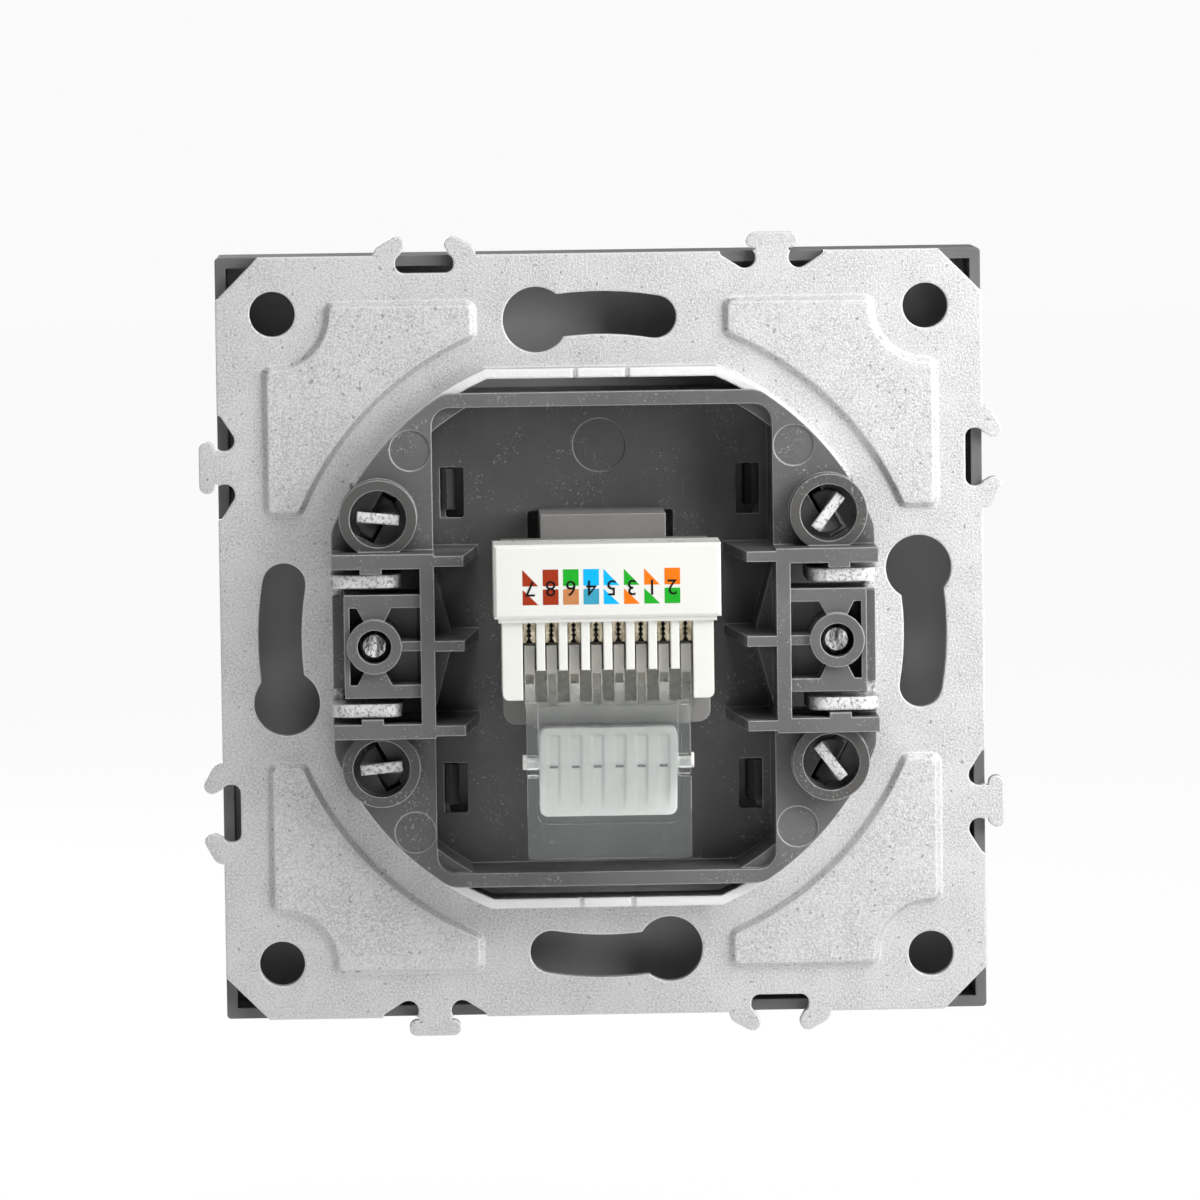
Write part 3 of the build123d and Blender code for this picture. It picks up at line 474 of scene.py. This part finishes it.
def add_object(name, mesh, material):
    """Object in the scene from a finished bmesh."""
    data = bpy.data.meshes.new(name)
    mesh.to_mesh(data)
    mesh.free()
    data.materials.append(material)
    piece = bpy.data.objects.new(name, data)
    bpy.context.scene.collection.objects.link(piece)
    return piece


def keep(name, mesh, material, body="insert"):
    """Shown piece from a finished bmesh, riding on a body."""
    piece = add_object(name, mesh, material)
    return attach(piece, body)


INKS = {
    "brown": ink("ink_brown", (0.36, 0.035, 0.009, 1)),
    "green": ink("ink_green", (0.015, 0.42, 0.024, 1)),
    "tan": ink("ink_tan", (0.58, 0.24, 0.09, 1)),
    "sky": ink("ink_sky", (0.003, 0.48, 0.95, 1)),
    "blue": ink("ink_blue", (0.05, 0.36, 0.53, 1)),
    "orange": ink("ink_orange", (0.95, 0.2, 0.006, 1)),
    "black": ink("ink_black", (0.004, 0.004, 0.005, 1)),
}
# What is printed on the wiring block, from left to right: each way's number, then the shape and
# the inks of the fields above and below it. A half field is cut from its top left corner to its
# bottom right one.
WAYS = {
    "7": ("half", "brown", "brown"),
    "8": ("whole", "brown", "brown"),
    "6": ("whole", "green", "tan"),
    "4": ("whole", "sky", "blue"),
    "5": ("half", "sky", "sky"),
    "3": ("half", "green", "orange"),
    "1": ("half", "orange", "green"),
    "2": ("whole", "orange", "green"),
}
FIELD_PITCH = 1.845 * MM
FIELD_WIDTH = 1.42 * MM
FIELDS_SHIFT = -0.55 * MM
UPPER_FIELD = (5.88 * MM, 7.38 * MM)
LOWER_FIELD = (4.16 * MM, 5.57 * MM)
INK_THICKNESS = 0.02 * MM
DIGIT_HEIGHT = 1.4 * MM
DIGIT_MIDDLE = 5.72 * MM
# A digit of the built-in typeface is this much of its size high
DIGIT_SHARE = 0.7
label_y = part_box("wiring_block")[1].y


def column_left(place):
    """Left edge, as u, of one way's fields."""
    return FIELDS_SHIFT + (place - (len(WAYS) - 1) / 2) * FIELD_PITCH - FIELD_WIDTH / 2


def field(mesh, left, low, high, shape):
    """One printed field as a thin raised patch."""
    outline = [(left, high), (left, low), (left + FIELD_WIDTH, low)]
    if shape == "whole":
        outline.append((left + FIELD_WIDTH, high))
    corners = [mesh.verts.new((-u, label_y, v)) for u, v in outline]
    raised = bmesh.ops.extrude_face_region(mesh, geom=[mesh.faces.new(corners)])
    moved = [part for part in raised["geom"] if isinstance(part, bmesh.types.BMVert)]
    bmesh.ops.translate(mesh, verts=moved, vec=(0, INK_THICKNESS, 0))
    bmesh.ops.recalc_face_normals(mesh, faces=mesh.faces)


fields = {}
for place, (shape, upper, lower) in enumerate(WAYS.values()):
    for colour, (low, high) in ((upper, UPPER_FIELD), (lower, LOWER_FIELD)):
        fields.setdefault(colour, bmesh.new())
        field(fields[colour], column_left(place), low, high, shape)
for colour, mesh in fields.items():
    keep(f"fields_{colour}", mesh, INKS[colour])

# The ways' numbers stand on their heads as the block hangs here
upside_down = Matrix(((1, 0, 0), (0, 0, 1), (0, -1, 0))).to_4x4()
for place, digit in enumerate(WAYS):
    text = bpy.data.curves.new(f"way_{digit}", "FONT")
    text.body = digit
    text.size = DIGIT_HEIGHT / DIGIT_SHARE
    text.align_x = "CENTER"
    text.align_y = "CENTER"
    text.extrude = INK_THICKNESS
    letter = bpy.data.objects.new(f"way_{digit}", text)
    mesh = bmesh.new()
    mesh.from_mesh(bpy.data.meshes.new_from_object(letter))
    bmesh.ops.transform(mesh, matrix=upside_down, verts=mesh.verts)
    spot = (-column_left(place) - FIELD_WIDTH / 2, label_y + INK_THICKNESS, DIGIT_MIDDLE)
    bmesh.ops.translate(mesh, verts=mesh.verts, vec=spot)
    keep(f"way_number_{digit}", mesh, INKS["black"])

# Floor: pale paper, which the camera sees as white with a faint shadow
paper, tree, shader = new_material("studio_paper")
set_shader(tree, shader, Base_Color=grey(0.86), Roughness=0.8)
rays = add(tree, "ShaderNodeLightPath").outputs
seen = calculate(tree, "ADD", rays["Is Camera Ray"], rays["Is Glossy Ray"])
seen = calculate(tree, "ADD", seen, rays["Is Transmission Ray"], use_clamp=True)
share = times(tree, seen, FLOOR_WHITE)
glow = add(tree, "ShaderNodeEmission", {"Color": grey(1.0), "Strength": 1.0})
both = add(tree, "ShaderNodeMixShader", {0: share, 1: shader.outputs[0], 2: glow.outputs[0]})
tree.links.new(both.outputs[0], tree.nodes["Material Output"].inputs["Surface"])

mesh = bmesh.new()
bmesh.ops.create_grid(mesh, x_segments=4, y_segments=4, size=FLOOR_HALF)
bmesh.ops.translate(mesh, verts=mesh.verts, vec=(0, 0, cad_low.z - FLOOR_DROP))
floor = add_object("floor", mesh, paper)

# Air: even soft light for the object, white for the camera
world = bpy.data.worlds.new("studio_air")
world.use_nodes = True
bpy.context.scene.world = world
tree = world.node_tree
soft = tree.nodes["Background"]
set_shader(tree, soft, Color=grey(1.0), Strength=AIR_LIGHT)
white = add(tree, "ShaderNodeBackground", {"Color": grey(1.0), "Strength": AIR_SEEN})
by_camera = add(tree, "ShaderNodeLightPath").outputs["Is Camera Ray"]
both = add(tree, "ShaderNodeMixShader", {0: by_camera, 1: soft.outputs[0], 2: white.outputs[0]})
tree.links.new(both.outputs[0], tree.nodes["World Output"].inputs["Surface"])


def aim(name, data, u, y, v):
    """Lamp or camera in the scene that looks at the socket's origin from a place round it."""
    stand = bpy.data.objects.new(name, data)
    stand.location = (-u, y, v)
    stand.rotation_mode = "QUATERNION"
    stand.rotation_quaternion = (-stand.location).to_track_quat("-Z", "Y")
    bpy.context.scene.collection.objects.link(stand)
    return stand


for name, (u, y, v, size, watts) in LAMPS.items():
    lamp = bpy.data.lights.new(name, "AREA")
    lamp.size = size
    lamp.energy = watts
    aim(name, lamp, u, y, v)

camera = bpy.data.cameras.new("camera")
camera.lens = LENS
camera.sensor_width = SENSOR
camera.clip_start = NEAREST_SEEN
camera.clip_end = FARTHEST_SEEN
viewer = aim("camera", camera, -VIEW_LEFT * VIEW_DISTANCE, VIEW_DISTANCE, VIEW_UP * VIEW_DISTANCE)
viewer.rotation_quaternion @= Euler((AIM_ABOVE, AIM_LEFT, ROLL)).to_quaternion()
bpy.context.scene.camera = viewer
bpy.context.scene.view_settings.view_transform = "Standard"
